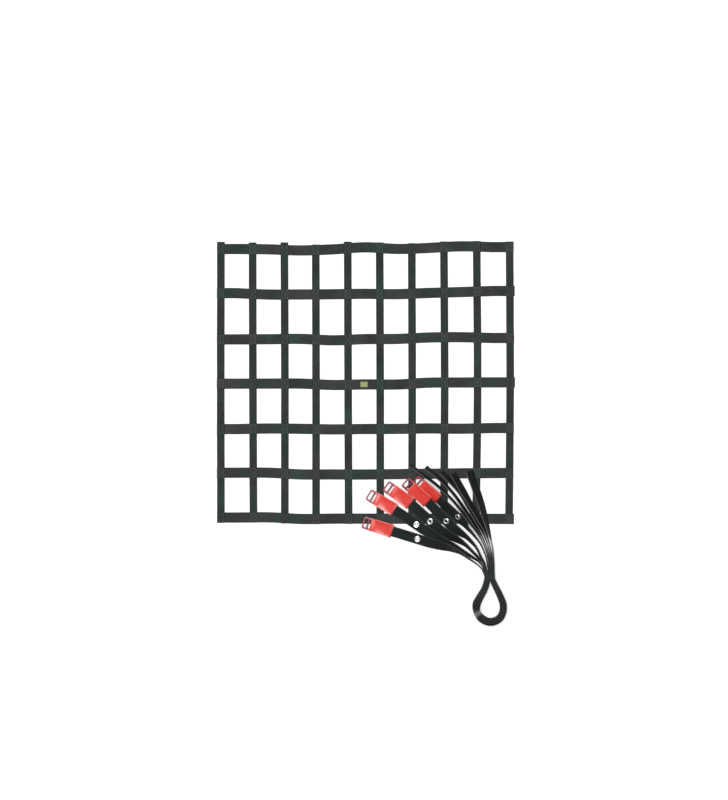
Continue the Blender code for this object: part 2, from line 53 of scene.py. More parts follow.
CORNERS = ((-1, -1), (1, -1), (1, 1), (-1, 1))

# The photograph's frame: the net lies flat below the camera
IMAGE_WIDTH = 728
IMAGE_HEIGHT = 800
PIXEL = 3.37 * MM
PHOTO_NET_CENTRE = (365.2, 383.4)
CAMERA_HEIGHT = 8.0

# The light: most of it falls straight down, so that the floor stays white in every gap
WORLD_STRENGTH = 0.30
FLOOR_GLOW = 0.12
FLOOR_HALF = 12.0
FLOOR_DROP = 0.4 * MM

# The lattice of the net
UPRIGHT_WIDTH = 26 * MM
RUNG_WIDTH = 35 * MM
NET_THICKNESS = 2 * MM
NET_CENTRE = Vector((-0.0023, 0.1674, 0))
CROSSING_MARGIN = 4 * MM
LAYER_RISE = NET_THICKNESS + GAP
END_OVERLAP = 0.5 * MM

# A fastening strap and what is fitted on it
STRAP_WIDTH = 35 * MM
STRAP_THICKNESS = 2.6 * MM
STRAP_STEP = 12.5 * MM
MIDDLE_STRAP = 2
HEAD_LENGTH = 108 * MM
EYELET_FROM_BUCKLE = 88 * MM
EYELET_HOLE = 4.9 * MM
EYELET_BARREL = 6.2 * MM
EYELET_FLANGE = 10 * MM

# The moulded end buckle, rounded at every edge sharper than ROUNDED_FROM degrees
BUCKLE_LENGTH = 104 * MM
BUCKLE_WIDTH = 45 * MM
BUCKLE_TIP_WIDTH = 41 * MM
BUCKLE_THICKNESS = 5.5 * MM
BUCKLE_TIP_RADIUS = 6.5 * MM
BUCKLE_WAIST = 0.97
SLOT_WIDTH = 29 * MM
OUTER_SLOT = 10 * MM
OUTER_SLOT_FROM_TIP = 5 * MM
INNER_SLOT = 5.5 * MM
SLOT_BAR = 6 * MM
SLOT_CORNER = 2 * MM
PANEL_WIDTH = 38 * MM
PANEL_LENGTH = 50 * MM
PANEL_DEPTH = 0.7 * MM
PANEL_FROM_REAR = 10 * MM
POCKET_DEPTH = 10 * MM
POCKET_WIDTH = 40 * MM
POCKET_HEIGHT = STRAP_THICKNESS + 0.8 * MM
STRAP_IN_POCKET = 5 * MM
FRAME_STEP = 0.6 * MM
EDGE_ROUNDING = 1.1 * MM
FINE_ROUNDING = 0.28 * MM
ROUNDED_FROM = 50

# The sewn label
LABEL_LENGTH = 27 * MM
LABEL_WIDTH = 20 * MM
LABEL_THICKNESS = 0.6 * MM
LABEL_X = -4 * MM

# Heights above the floor: a buckle's lowest edge where it lies on the net, and a strap's
BUCKLE_ON_NET = 4.9 * MM
ON_FLOOR = 0.2 * MM

# How finely webbing is modelled: its lengthwise ribs, its round selvedges and its stations
RIB_WIDTH = 2.2 * MM
RIB_DEPTH = 0.25 * MM
SELVEDGE_STEPS = 4
NET_STATION = 6 * MM
STRAP_STATION = 4 * MM
SEALED_END = 0.6 * MM
SEALED_THICKNESS = 0.75

# Where each strap starts in the weave's pattern, in metres, so that no two look alike, and how
# far along a fastening strap its tail, which stands on edge, starts to be painted darker as shade
PATTERN_STEP = 3.0
RUNG_PATTERN_START = 40
STRAP_PATTERN_START = 27 * PATTERN_STEP
STRAP_TAIL_SHADE_FROM = 0.78
STRAP_TAIL_SHADE_FADE = 0.15

# Sewing: a stitch's length, the pitch from stitch to stitch, its half width, its height over
# that, and the angles of the points round it. Then its distance from the webbing's edge, and how
# far from a strap's buckle the two rows across the strap are
STITCH_LENGTH = 3.3 * MM
STITCH_PITCH = 4.2 * MM
STITCH_RADIUS = 0.42 * MM
STITCH_FLATNESS = 0.8
STITCH_RING = (-20, 40, 90, 140, 200)
STITCH_MARGIN = 3.5 * MM
SEAM_ROWS = (6 * MM, 11 * MM)

WEAVE_UV = "weave"
LOCAL = "local"

# Uprights from left to right, in millimetres: place across the net, how far the strap sways
# from it at the top, the middle and the bottom, and how far its end stands over the top rung
Upright = namedtuple("Upright", "x top middle bottom stub")
UPRIGHTS = [
    Upright(-486.0, 0.0, -0.7, 0.0, 6.5),
    Upright(-378.0, -1.3, -0.3, 1.7, 5.0),
    Upright(-270.5, -1.7, 0.0, -0.3, 8.0),
    Upright(-165.5, -1.0, 0.0, 0.0, 1.5),
    Upright(-57.5, -1.3, 0.0, 1.7, 4.5),
    Upright(50.5, -1.7, 0.0, 0.3, 1.5),
    Upright(158.0, -1.0, 0.3, -0.3, 1.0),
    Upright(266.0, -0.7, 1.7, -0.7, 1.5),
    Upright(375.0, 0.7, 3.7, -1.3, 1.0),
    Upright(486.0, 0.7, 2.4, -1.3, 1.5),
]

# Rungs from top to bottom, in millimetres: place up the net, how far the strap's end stands
# past the last upright, and how far the strap lies above its place in each bay between uprights
Rung = namedtuple("Rung", "y past bays")
RUNGS = [
    Rung(454.0, 0.5, (-1.3, -2.4, -6.1, -2.4, 4.4, -1.0, 2.4, 7.8, 5.1)),
    Rung(303.0, 3.4, (1.0, -3.7, -3.4, -2.7, -1.3, -2.4, 1.7, 4.7, 8.4)),
    Rung(149.5, 0.5, (-1.3, -0.7, 0.3, -4.4, -0.3, 0.3, 5.1, 6.1, 3.4)),
    Rung(0.0, 3.4, (-1.0, -0.7, -0.7, -5.4, -3.4, -3.7, 2.4, 3.0, 3.4)),
    Rung(-153.0, 0.5, (-1.0, 1.0, 0.0, -2.0, -0.7, -0.3, 1.3, 0.3, 2.7)),
    Rung(-304.0, 0.5, (3.0, 3.0, -2.7, -2.7, -3.0, -1.7, -0.5, 1.0, 2.0)),
    Rung(-454.0, 3.4, (2.0, 2.7, -2.7, -1.7, -1.7, -2.0, -2.0, -2.2, -2.4)),
]
LABEL_RUNG = 3

# Heads of the fastening straps, lowest first: the eyelet's pixel, how many degrees the strap and
# the buckle point below the horizontal, and how far the head is turned up towards the next strap
Head = namedtuple("Head", "px py strap_slope buckle_slope roll")
HEADS = [
    Head(417.3, 538.8, 17.0, 17.5, 8.0),
    Head(416.3, 524.4, 34.0, 31.0, 7.0),
    Head(430.0, 521.0, 42.0, 36.0, 11.0),
    Head(446.0, 520.7, 46.0, 41.5, 21.0),
    Head(457.5, 516.5, 42.5, 40.0, 35.0),
]

# Each strap from its head down to the neck of the loop: pixel, degrees that it is turned from
# lying flat towards standing on edge, and height of its lower edge in millimetres
Stop = namedtuple("Stop", "px py roll lift")
HEAD_STOPS = [
    [
        Stop(431.0, 543.0, 13, 4.5),
        Stop(440.5, 545.4, 27, 2.0),
        Stop(450.5, 548.2, 50, 0.3),
        Stop(460.7, 552.6, 68, 0.0),
        Stop(471.0, 560.0, 81, 0.0),
        Stop(478.4, 565.3, 85, 0.0),
        Stop(482.6, 570.2, 86, 0.0),
    ],
    [
        Stop(429.0, 532.2, 13, 6.4),
        Stop(438.0, 538.3, 27, 4.0),
        Stop(447.0, 542.7, 44, 1.5),
        Stop(455.0, 546.4, 59, 0.0),
        Stop(463.0, 550.9, 72, 0.0),
        Stop(471.0, 556.2, 74, 0.0),
        Stop(478.0, 560.7, 79, 0.0),
        Stop(482.7, 566.6, 86, 0.0),
    ],
    [
        Stop(441.0, 530.2, 24, 6.4),
        Stop(449.3, 535.2, 35, 4.0),
        Stop(457.6, 539.6, 50, 1.5),
        Stop(464.4, 544.0, 67, 0.0),
        Stop(468.9, 548.0, 74, 0.0),
        Stop(472.8, 552.0, 76, 0.0),
        Stop(478.4, 557.6, 78, 0.0),
        Stop(483.5, 564.2, 86, 0.0),
    ],
    [
        Stop(455.3, 529.2, 30, 6.4),
        Stop(465.2, 536.0, 62, 3.0),
        Stop(471.3, 541.8, 72, 0.5),
        Stop(476.4, 548.0, 80, 0.0),
        Stop(480.6, 556.4, 82, 0.0),
        Stop(484.8, 563.8, 87, 0.0),
    ],
    [
        Stop(466.2, 526.6, 66, 6.4),
        Stop(473.5, 534.8, 78, 4.0),
        Stop(480.2, 543.8, 85, 1.0),
        Stop(484.3, 552.6, 87, 0.0),
        Stop(486.7, 561.0, 88, 0.0),
    ],
]

# Each strap's tail from the neck of the loop to its cut end
TAIL_STOPS = [
    [
        Stop(493.5, 562.0, 91, 0.0),
        Stop(492.6, 549.5, 90, 1.0),
        Stop(490.9, 540.0, 84, 3.5),
        Stop(488.2, 530.5, 69, 6.4),
        Stop(481.5, 506.0, 48, 6.4),
        Stop(475.7, 489.0, 40, 6.4),
        Stop(469.5, 471.0, 34, 6.4),
    ],
    [
        Stop(492.2, 562.0, 91, 0.0),
        Stop(490.6, 550.0, 90, 1.0),
        Stop(486.6, 535.5, 81, 6.4),
        Stop(480.6, 522.0, 66, 6.4),
        Stop(471.9, 507.0, 60, 6.4),
        Stop(462.6, 490.5, 52, 6.4),
        Stop(453.0, 473.8, 50, 6.4),
    ],
    [
        Stop(491.0, 562.0, 91, 0.0),
        Stop(488.9, 550.0, 90, 1.0),
        Stop(484.2, 535.8, 83, 6.4),
        Stop(477.0, 522.0, 70, 6.4),
        Stop(467.6, 505.5, 67, 6.4),
        Stop(458.4, 490.0, 64, 6.4),
        Stop(441.2, 471.6, 58, 6.4),
    ],
    [
        Stop(489.8, 562.0, 91, 0.0),
        Stop(487.2, 550.0, 90, 1.0),
        Stop(481.9, 536.5, 84, 6.4),
        Stop(473.6, 523.5, 73, 6.4),
        Stop(463.6, 508.0, 72, 6.4),
        Stop(452.4, 492.5, 75, 6.4),
        Stop(439.6, 479.0, 72, 6.4),
        Stop(425.5, 467.0, 65, 6.4),
    ],
    [
        Stop(488.5, 562.0, 91, 0.0),
        Stop(485.7, 550.0, 90, 1.0),
        Stop(479.6, 536.5, 85, 6.4),
        Stop(470.3, 523.2, 76, 6.4),
        Stop(459.2, 508.2, 76, 6.4),
        Stop(448.5, 496.0, 78, 6.4),
        Stop(435.4, 484.0, 76, 6.4),
        Stop(421.4, 473.5, 74, 6.4),
        Stop(410.3, 465.3, 70, 6.4),
    ],
]

# The loop that all five straps share: the middle strap's pixels, how many millimetres apart the
# straps stand there, and how many degrees their upper edges lean out from the loop
LoopStop = namedtuple("LoopStop", "px py pitch lean")
LOOP = [
    LoopStop(486.9, 577.0, 3.8, -1.5),
    LoopStop(486.4, 581.5, 4.2, -1.5),
    LoopStop(484.1, 589.0, 4.2, -2.0),
    LoopStop(479.4, 597.2, 4.9, -2.0),
    LoopStop(476.2, 604.2, 5.4, -3.0),
    LoopStop(476.6, 611.2, 4.9, -1.5),
    LoopStop(480.6, 617.2, 5.3, 4.0),
    LoopStop(487.0, 620.9, 5.4, 1.5),
    LoopStop(493.4, 621.0, 5.3, 1.0),
    LoopStop(499.4, 617.6, 5.0, 1.0),
    LoopStop(502.6, 611.0, 4.8, 1.5),
    LoopStop(502.6, 603.0, 4.7, 2.5),
    LoopStop(499.3, 594.4, 4.4, 3.0),
    LoopStop(495.7, 587.0, 4.0, 3.0),
    LoopStop(493.0, 581.0, 3.8, 1.5),
    LoopStop(492.0, 577.0, 3.5, 1.0),
]


# Routes, as in the part's source


def smoothstep(t):
    t = min(max(t, 0.0), 1.0)
    return t * t * (3 - 2 * t)


def spline(points, t):
    """A Catmull-Rom curve through vectors, read at t from 0 to the last point's number."""
    last = len(points) - 1
    i = min(int(t), last - 1)
    u = t - i
    p1 = points[i]
    p2 = points[i + 1]
    p0 = points[i - 1] if i > 0 else p1 * 2 - p2
    p3 = points[i + 2] if i + 2 <= last else p2 * 2 - p1
    return (p1 * 2 + (p2 - p0) * u + (p0 * 2 - p1 * 5 + p2 * 4 - p3) * u ** 2
            + (p1 * 3 - p0 - p2 * 3 + p3) * u ** 3) / 2


def evenly_spaced(points, step):
    """Stations an even step apart along the curve through the points' first two values."""
    fine = 24
    dense = [spline(points, i / fine) for i in range(fine * (len(points) - 1) + 1)]
    along = [0.0]
    for before, after in zip(dense, dense[1:]):
        along.append(along[-1] + math.hypot(after[0] - before[0], after[1] - before[1]))
    count = round(along[-1] / step)
    stations = []
    i = 0
    for n in range(count + 1):
        target = along[-1] * n / count
        while i < len(dense) - 2 and along[i + 1] < target:
            i += 1
        share = (target - along[i]) / (along[i + 1] - along[i])
        stations.append(dense[i].lerp(dense[i + 1], min(share, 1.0)))
    return stations


def upright_x(i, y):
    """The centre of an upright, across the net, at a height y up the net."""
    row = UPRIGHTS[i]
    sways = [Vector((row.top, 0)), Vector((row.middle, 0)), Vector((row.bottom, 0))]
    t = (RUNGS[0].y * MM - y) / ((RUNGS[0].y - RUNGS[-1].y) * MM) * 2
    return (row.x + spline(sways, min(max(t, 0.0), 2.0))[0]) * MM


def rung_y(j, x):
    """The centre of a rung, up the net, at a place x across the net."""
    row = RUNGS[j]
    bays = [Vector((bay, 0)) for bay in row.bays]
    first = (UPRIGHTS[0].x + UPRIGHTS[1].x) / 2 * MM
    last = (UPRIGHTS[-2].x + UPRIGHTS[-1].x) / 2 * MM
    t = (x - first) / (last - first) * (len(bays) - 1)
    return (row.y + spline(bays, min(max(t, 0.0), len(bays) - 1))[0]) * MM


def upright_is_over(i, j):
    return (i + j) % 2 == 0


def resting_height(along, rests, reach):
    """The height of a lattice strap's middle: level at each crossing, easing between them."""
    height = rests[0][1]
    for (a, low), (b, high) in zip(rests, rests[1:]):
        if along > a:
            share = (along - a - reach) / (b - a - 2 * reach)
            height = low + (high - low) * smoothstep(share)
    return height


def ahead_at(points, i):
    """The way from the point before number i to the point after it."""
    return points[min(i + 1, len(points) - 1)] - points[max(i - 1, 0)]


def level_sections(centres):
    """Sections (centre, across, normal) of webbing that lies level from side to side."""
    sections = []
    for i, centre in enumerate(centres):
        across = UP.cross(ahead_at(centres, i)).normalized()
        sections.append((centre, across, UP))
    return sections


def weave_sections(start, end, crossings, half_width, centre_at):
    """Sections of a strap of the net, at even stations.

    A crossing is (place along the strap, True where this strap lies on top).
    """
    reach = half_width + CROSSING_MARGIN
    rests = []
    for place, on_top in crossings:
        rests.append((abs(place - start), NET_THICKNESS / 2 + (LAYER_RISE if on_top else 0)))
    count = round(abs(end - start) / NET_STATION)
    centres = []
    for n in range(count + 1):
        place = start + (end - start) * n / count
        centres.append(centre_at(place, resting_height(abs(place - start), rests, reach)))
    return level_sections(centres)


def upright_sections(i):
    crossings = []
    for j in range(len(RUNGS)):
        place = rung_y(j, UPRIGHTS[i].x * MM)
        crossings.append((place, upright_is_over(i, j)))
    top = crossings[0][0] + RUNG_WIDTH / 2 + UPRIGHTS[i].stub * MM
    bottom = crossings[-1][0] - RUNG_WIDTH / 2 - END_OVERLAP
    return weave_sections(
        top, bottom, crossings, RUNG_WIDTH / 2,
        lambda y, z: NET_CENTRE + Vector((upright_x(i, y), y, z)))


def rung_sections(j):
    crossings = []
    for i in range(len(UPRIGHTS)):
        place = upright_x(i, RUNGS[j].y * MM)
        crossings.append((place, not upright_is_over(i, j)))
    left = crossings[0][0] - UPRIGHT_WIDTH / 2 - END_OVERLAP
    right = crossings[-1][0] + UPRIGHT_WIDTH / 2 + RUNGS[j].past * MM
    return weave_sections(
        left, right, crossings, UPRIGHT_WIDTH / 2,
        lambda x, z: NET_CENTRE + Vector((x, rung_y(j, x), z)))


def photo_point(px, py):
    x = (px - PHOTO_NET_CENTRE[0]) * PIXEL
    y = (PHOTO_NET_CENTRE[1] - py) * PIXEL
    return NET_CENTRE + Vector((x, y, 0))


def heading(degrees_below):
    angle = math.radians(degrees_below)
    return Vector((math.cos(angle), -math.sin(angle), 0))


def edge_frame(tangent, roll):
    """Across and normal of a strap that runs along tangent, turned up from flat by roll."""
    level = UP.cross(tangent).normalized()
    upward = tangent.cross(level)
    across = level * math.cos(roll) + upward * math.sin(roll)
    normal = tangent.cross(across)
    return across, normal


def centre_height(lift, roll, width, thickness):
    return lift + width / 2 * math.sin(roll) + thickness / 2 * math.cos(roll)


def buckle_swing(head):
    """The angle between strap and buckle, in the plane that both lie in."""
    return math.radians(head.strap_slope - head.buckle_slope)


def head_height(head):
    """Height of the strap's middle at the eyelet, with the buckle's lowest corner on the net."""
    roll = math.radians(head.roll)
    tip_drop = BUCKLE_LENGTH * math.sin(buckle_swing(head)) * math.sin(roll)
    return centre_height(BUCKLE_ON_NET, roll, BUCKLE_WIDTH, BUCKLE_THICKNESS) + max(tip_drop, 0)


def head_matrix(head, distance):
    """Places a piece modelled along +X at a distance past the eyelet, in the head's own plane."""
    tangent = heading(head.strap_slope)
    across, normal = edge_frame(tangent, math.radians(head.roll))
    eyelet = photo_point(head.px, head.py)
    eyelet.z = head_height(head)
    turn = Matrix((tangent, across, normal)).transposed().to_4x4()
    return Matrix.Translation(eyelet + tangent * distance) @ turn


def loop_points(k):
    """The strap's own line round the loop, beside the middle strap's."""
    middle = [photo_point(stop.px, stop.py) for stop in LOOP]
    points = []
    for i, stop in enumerate(LOOP):
        ahead = ahead_at(middle, i)
        outward = Vector((ahead.y, -ahead.x, 0)).normalized()
        spot = middle[i] + outward * (MIDDLE_STRAP - k) * stop.pitch * MM
        points.append(Vector((spot.x, spot.y, math.radians(90 + stop.lean), 0)))
    return points


def stop_points(stops):
    points = []
    for stop in stops:
        spot = photo_point(stop.px, stop.py)
        points.append(Vector((spot.x, spot.y, math.radians(stop.roll), stop.lift * MM)))
    return points


def strap_sections(k):
    """The whole strap, from inside its buckle's pocket, round the loop, to its cut tail."""
    head = HEADS[k]
    roll = math.radians(head.roll)
    lift = head_height(head) - centre_height(0, roll, STRAP_WIDTH, STRAP_THICKNESS)
    start = -EYELET_FROM_BUCKLE - STRAP_IN_POCKET
    seam = start + HEAD_LENGTH
    points = []
    for distance in (start, start / 2, 0, seam + GAP, seam + STRAP_STEP):
        spot = head_matrix(head, distance).translation
        points.append(Vector((spot.x, spot.y, roll, lift)))
    points += stop_points(HEAD_STOPS[k]) + loop_points(k) + stop_points(TAIL_STOPS[k])
    stations = evenly_spaced(points, STRAP_STATION)
    centres = []
    for x, y, roll, lift in stations:
        height = centre_height(max(lift, ON_FLOOR), roll, STRAP_WIDTH, STRAP_THICKNESS)
        centres.append(Vector((x, y, height)))
    sections = []
    for i, centre in enumerate(centres):
        ahead = heading(head.strap_slope) if i == 0 else ahead_at(centres, i)
        across, normal = edge_frame(ahead.normalized(), stations[i][2])
        sections.append((centre, across, normal))
    return sections


# Materials


class Graph:
    """A material whose nodes are added by short calls, so that it reads as a list of steps."""

    def __init__(self, name):
        self.material = bpy.data.materials.new(name)
        self.material.use_nodes = True
        self.nodes = self.material.node_tree.nodes
        self.links = self.material.node_tree.links
        self.shader = self.nodes["Principled BSDF"]

    def feed(self, socket, value):
        if isinstance(value, bpy.types.NodeSocket):
            self.links.new(value, socket)
        elif isinstance(value, tuple) and len(value) == 3 and socket.type == 'RGBA':
            socket.default_value = (*value, 1)
        else:
            socket.default_value = value

    def set(self, **settings):
        """Sets the shader's sockets, named with _ for a space."""
        for name, value in settings.items():
            self.feed(self.shader.inputs[name.replace("_", " ")], value)

    def math(self, operation, *values):
        node = self.nodes.new("ShaderNodeMath")
        node.operation = operation
        for socket, value in zip(node.inputs, values):
            self.feed(socket, value)
        return node.outputs[0]

    def ease(self, value, low, high, to_low=0.0, to_high=1.0):
        """The value carried smoothly from between low and high to between to_low and to_high."""
        node = self.nodes.new("ShaderNodeMapRange")
        node.interpolation_type = 'SMOOTHSTEP'
        for socket, fed in zip(node.inputs, (value, low, high, to_low, to_high)):
            self.feed(socket, fed)
        return node.outputs[0]

    def split(self, vector):
        node = self.nodes.new("ShaderNodeSeparateXYZ")
        self.feed(node.inputs[0], vector)
        return node.outputs

    def join(self, x, y, z=0.0):
        node = self.nodes.new("ShaderNodeCombineXYZ")
        for socket, value in zip(node.inputs, (x, y, z)):
            self.feed(socket, value)
        return node.outputs[0]

    def noise(self, vector, scale, detail=2.0, roughness=0.5):
        node = self.nodes.new("ShaderNodeTexNoise")
        self.feed(node.inputs["Vector"], vector)
        node.inputs["Scale"].default_value = scale
        node.inputs["Detail"].default_value = detail
        node.inputs["Roughness"].default_value = roughness
        return node.outputs["Fac"]

    def random(self, vector):
        node = self.nodes.new("ShaderNodeTexWhiteNoise")
        node.noise_dimensions = '3D'
        self.feed(node.inputs["Vector"], vector)
        return node.outputs["Value"]

    def mix(self, factor, a, b):
        node = self.nodes.new("ShaderNodeMix")
        node.data_type = 'RGBA'
        node.clamp_factor = True
        self.feed(node.inputs[0], factor)
        self.feed(node.inputs[6], a)
        self.feed(node.inputs[7], b)
        return node.outputs[2]

    def tint(self, factor, colour, by):
        """The colour, multiplied by another as far as the factor says."""
        tinted = self.mix(factor, colour, by)
        tinted.node.blend_type = 'MULTIPLY'
        return tinted

    def bump(self, height, distance, strength=1.0):
        node = self.nodes.new("ShaderNodeBump")
        node.inputs["Strength"].default_value = strength
        node.inputs["Distance"].default_value = distance
        self.feed(node.inputs["Height"], height)
        self.feed(self.shader.inputs["Normal"], node.outputs[0])

    def uv(self):
        node = self.nodes.new("ShaderNodeUVMap")
        node.uv_map = WEAVE_UV
        return self.split(node.outputs[0])

    def local(self):
        node = self.nodes.new("ShaderNodeAttribute")
        node.attribute_name = LOCAL
        return node.outputs["Vector"]


def webbing_material(name, width, dark, light, selvedge, worn, sheen, tail_shade_from=None):
    """Polyester webbing: warp yarns that float over the picks in a herringbone.

    It reads the UV map, whose u is the place across and v the place along, in metres. From a
    given place on, counted from the strap's start, it is painted darker as shade, because the tail
    stands on edge there, and its selvedge is paler.
    """
    yarn = RIB_WIDTH / 2
    pick = 1.5 * MM
    turn_every = 5
    g = Graph(name)
    u, v, _ = g.uv()
    columns = g.math('DIVIDE', u, yarn)
    column = g.math('FLOOR', columns)
    across_yarn = g.math('FRACT', columns)
    lean = g.math('PINGPONG', column, turn_every)
    rows = g.math('ADD', g.math('DIVIDE', v, 4 * pick), g.math('MULTIPLY', lean, 0.25))
    along_float = g.math('FRACT', rows)
    yarn_round = g.math('SINE', g.math('MULTIPLY', across_yarn, math.pi))
    float_round = g.math('SINE', g.math('MULTIPLY', along_float, math.pi))
    height = g.math('MULTIPLY', g.math('POWER', yarn_round, 0.6),
                    g.math('MULTIPLY_ADD', float_round, 0.65, 0.35))
    cell = g.random(g.join(column, g.math('FLOOR', rows)))
    fibres = g.noise(g.join(g.math('MULTIPLY', u, 40.0), v), 260.0, 3.0)
    patches = g.noise(g.join(u, v), 9.0, 3.0)
    streaks = g.noise(g.join(g.math('MULTIPLY', u, 9.0), g.math('MULTIPLY', v, 0.8)), 26.0, 2.0)

    # The weave's pattern, with painted shade where it sinks between yarns and picks.
    tone = g.math('MULTIPLY', height, 0.55)
    for pattern, weight in ((cell, 0.22), (fibres, 0.5), (patches, 1.3), (streaks, 0.5)):
        tone = g.math('ADD', tone, g.math('MULTIPLY', g.math('SUBTRACT', pattern, 0.5), weight))
    colour = g.mix(tone, dark, light)
    hue = g.noise(g.join(g.math('MULTIPLY', u, 2.0), v), 6.5, 1.0)
    colour = g.tint(g.ease(hue, 0.48, 0.36), colour, (0.76, 1.18, 1.04))
    colour = g.tint(g.ease(hue, 0.50, 0.62), colour, (1.20, 0.93, 1.02))
    # Painted shade: a fastening strap's tail stands on edge, so past the given place its colour is
    # darker, with a paler selvedge.
    if tail_shade_from is not None:
        along = g.math('MODULO', v, PATTERN_STEP)
        tail_shade_mask = g.ease(along, tail_shade_from, tail_shade_from + STRAP_TAIL_SHADE_FADE)
        colour = g.tint(tail_shade_mask, colour, (0.55, 0.50, 0.50))
        selvedge = g.mix(tail_shade_mask, selvedge, worn)
    from_middle = g.math('ABSOLUTE', u)
    edge = g.ease(from_middle, width / 2 - 2.2 * MM, width / 2 - 1.2 * MM)
    colour = g.mix(g.math('MULTIPLY', edge, g.ease(streaks, 0.2, 0.7, 0.45, 0.85)), colour, selvedge)
    fuzz = g.ease(g.noise(g.join(g.math('MULTIPLY', u, 3.0), v), 420.0, 2.0), 0.6, 0.75)
    paler_edge = g.math('MULTIPLY', g.ease(from_middle, width / 2 - 2.0 * MM, width / 2), fuzz)
    colour = g.mix(g.math('MULTIPLY', paler_edge, 0.5), colour, worn)
    g.set(Base_Color=colour)
    g.set(Roughness=g.math('MULTIPLY_ADD', height, -0.12, 0.86))
    g.set(Specular_IOR_Level=0.25, Sheen_Weight=sheen, Sheen_Roughness=0.45)
    grain = g.math('ADD', height, g.math('MULTIPLY', fibres, 0.3))
    g.bump(grain, 0.35 * MM, 0.8)
    return g.material


def thread_material(name, colour):
    """Twisted polyester thread."""
    g = Graph(name)
    place = g.local()
    twist = g.noise(place, 1500.0, 1.0)
    fade = g.noise(place, 25.0, 2.0)
    dark = tuple(c * 0.6 for c in colour)
    light = tuple(c * 1.35 for c in colour)
    g.set(Base_Color=g.mix(g.math('MULTIPLY_ADD', fade, 0.5, g.math('MULTIPLY', twist, 0.5)),
                           dark, light))
    g.set(Roughness=g.math('MULTIPLY_ADD', twist, 0.2, 0.45))
    g.set(Specular_IOR_Level=0.4, Sheen_Weight=0.15)
    g.bump(twist, 0.12 * MM, 0.6)
    return g.material


def buckle_material():
    """Red moulded plastic, paler along its rails and by its frame, where highlights are painted."""
    g = Graph("red_plastic")
    place = g.local()
    x, y, z = g.split(place)
    cloud = g.noise(place, 35.0, 3.0)
    flow = g.noise(g.join(g.math('MULTIPLY', x, 0.25), y, z), 120.0, 2.0)
    pores = g.noise(place, 2600.0, 2.0)
    scratches = g.noise(g.join(g.math('MULTIPLY', x, 6.0), g.math('MULTIPLY', y, 0.6), z),
                        240.0, 3.0, 0.65)
    side = g.math('DIVIDE', g.math('ABSOLUTE', y), BUCKLE_WIDTH / 2)
    colour = g.mix(cloud, (0.54, 0.020, 0.015), (0.72, 0.046, 0.034))
    colour = g.mix(g.ease(flow, 0.45, 0.8, 0.0, 0.4), colour, (0.78, 0.090, 0.062))
    colour = g.mix(g.ease(side, 0.75, 0.2, 0.0, 0.35), colour, (0.76, 0.062, 0.047))
    frame_start = -BUCKLE_LENGTH + OUTER_SLOT_FROM_TIP + OUTER_SLOT + SLOT_BAR + INNER_SLOT
    # Painted highlight along the body's edge beside the inner slot.
    colour = g.mix(g.ease(x, frame_start + 4 * MM, frame_start + 1 * MM, 0.0, 0.6), colour,
                   (0.90, 0.30, 0.24))
    colour = g.mix(g.ease(x, frame_start + 1 * MM, frame_start - 2 * MM, 0.0, 0.9), colour,
                   (0.24, 0.032, 0.060))
    # Painted shadow on the bar between the two slots, in from the rails.
    bar_middle = frame_start - INNER_SLOT - SLOT_BAR / 2
    bar_shadow_mask = g.ease(g.math('ABSOLUTE', g.math('SUBTRACT', x, bar_middle)),
                    SLOT_BAR / 2 + 1 * MM, SLOT_BAR / 2 - 1 * MM)
    between = g.ease(side, 0.68, 0.6)
    colour = g.mix(g.math('MULTIPLY', g.math('MULTIPLY', bar_shadow_mask, between), 0.75), colour,
                   (0.10, 0.045, 0.036))
    # Paler along both rails: a painted highlight, broken up by the scratches.
    rail = g.ease(side, 0.88, 0.965)
    paler_edge = g.math('MULTIPLY', rail, g.ease(scratches, 0.25, 0.75, 0.45, 0.95))
    colour = g.mix(paler_edge, colour, (0.84, 0.30, 0.27))
    # Painted shadow along the rear end, where the strap goes into the pocket.
    colour = g.mix(g.ease(x, -7 * MM, -1 * MM, 0.0, 0.8), colour, (0.20, 0.016, 0.014))
    g.set(Base_Color=colour)
    g.set(Roughness=g.math('MULTIPLY_ADD', scratches, 0.28, 0.2))
    g.set(Specular_IOR_Level=0.5, Coat_Weight=0.15, Coat_Roughness=0.2)
    g.set(Subsurface_Weight=0.06, Subsurface_Scale=0.002)
    g.bump(g.math('ADD', g.math('MULTIPLY', pores, 0.5), g.math('MULTIPLY', scratches, 0.5)),
           0.08 * MM, 0.5)
    return g.material


def eyelet_material():
    """Nickel plate, dull in its hollows."""
    g = Graph("nickel_plate")
    place = g.local()
    x, y, z = g.split(place)
    cloud = g.noise(place, 260.0, 3.0)
    hair = g.noise(g.join(g.math('MULTIPLY', x, 3.0), g.math('MULTIPLY', y, 3.0), z), 1100.0, 2.0)
    radius = g.math('SQRT', g.math('ADD', g.math('MULTIPLY', x, x), g.math('MULTIPLY', y, y)))
    dish_middle = 7.7 * MM
    from_dish = g.math('ABSOLUTE', g.math('SUBTRACT', radius, dish_middle))
    hollow = g.ease(from_dish, 1.1 * MM, 0.2 * MM)
    bore = g.ease(radius, EYELET_HOLE + 0.4 * MM, EYELET_HOLE)
    dull = g.math('MULTIPLY', g.math('MAXIMUM', g.math('MULTIPLY', hollow, 0.5), bore),
                  g.ease(cloud, 0.2, 0.7, 0.4, 1.0))
    g.set(Base_Color=g.mix(dull, (0.86, 0.86, 0.84), (0.36, 0.35, 0.33)))
    g.set(Metallic=1.0)
    g.set(Roughness=g.math('MULTIPLY_ADD', hair, 0.2, 0.16))
    g.bump(hair, 0.03 * MM, 0.4)
    return g.material


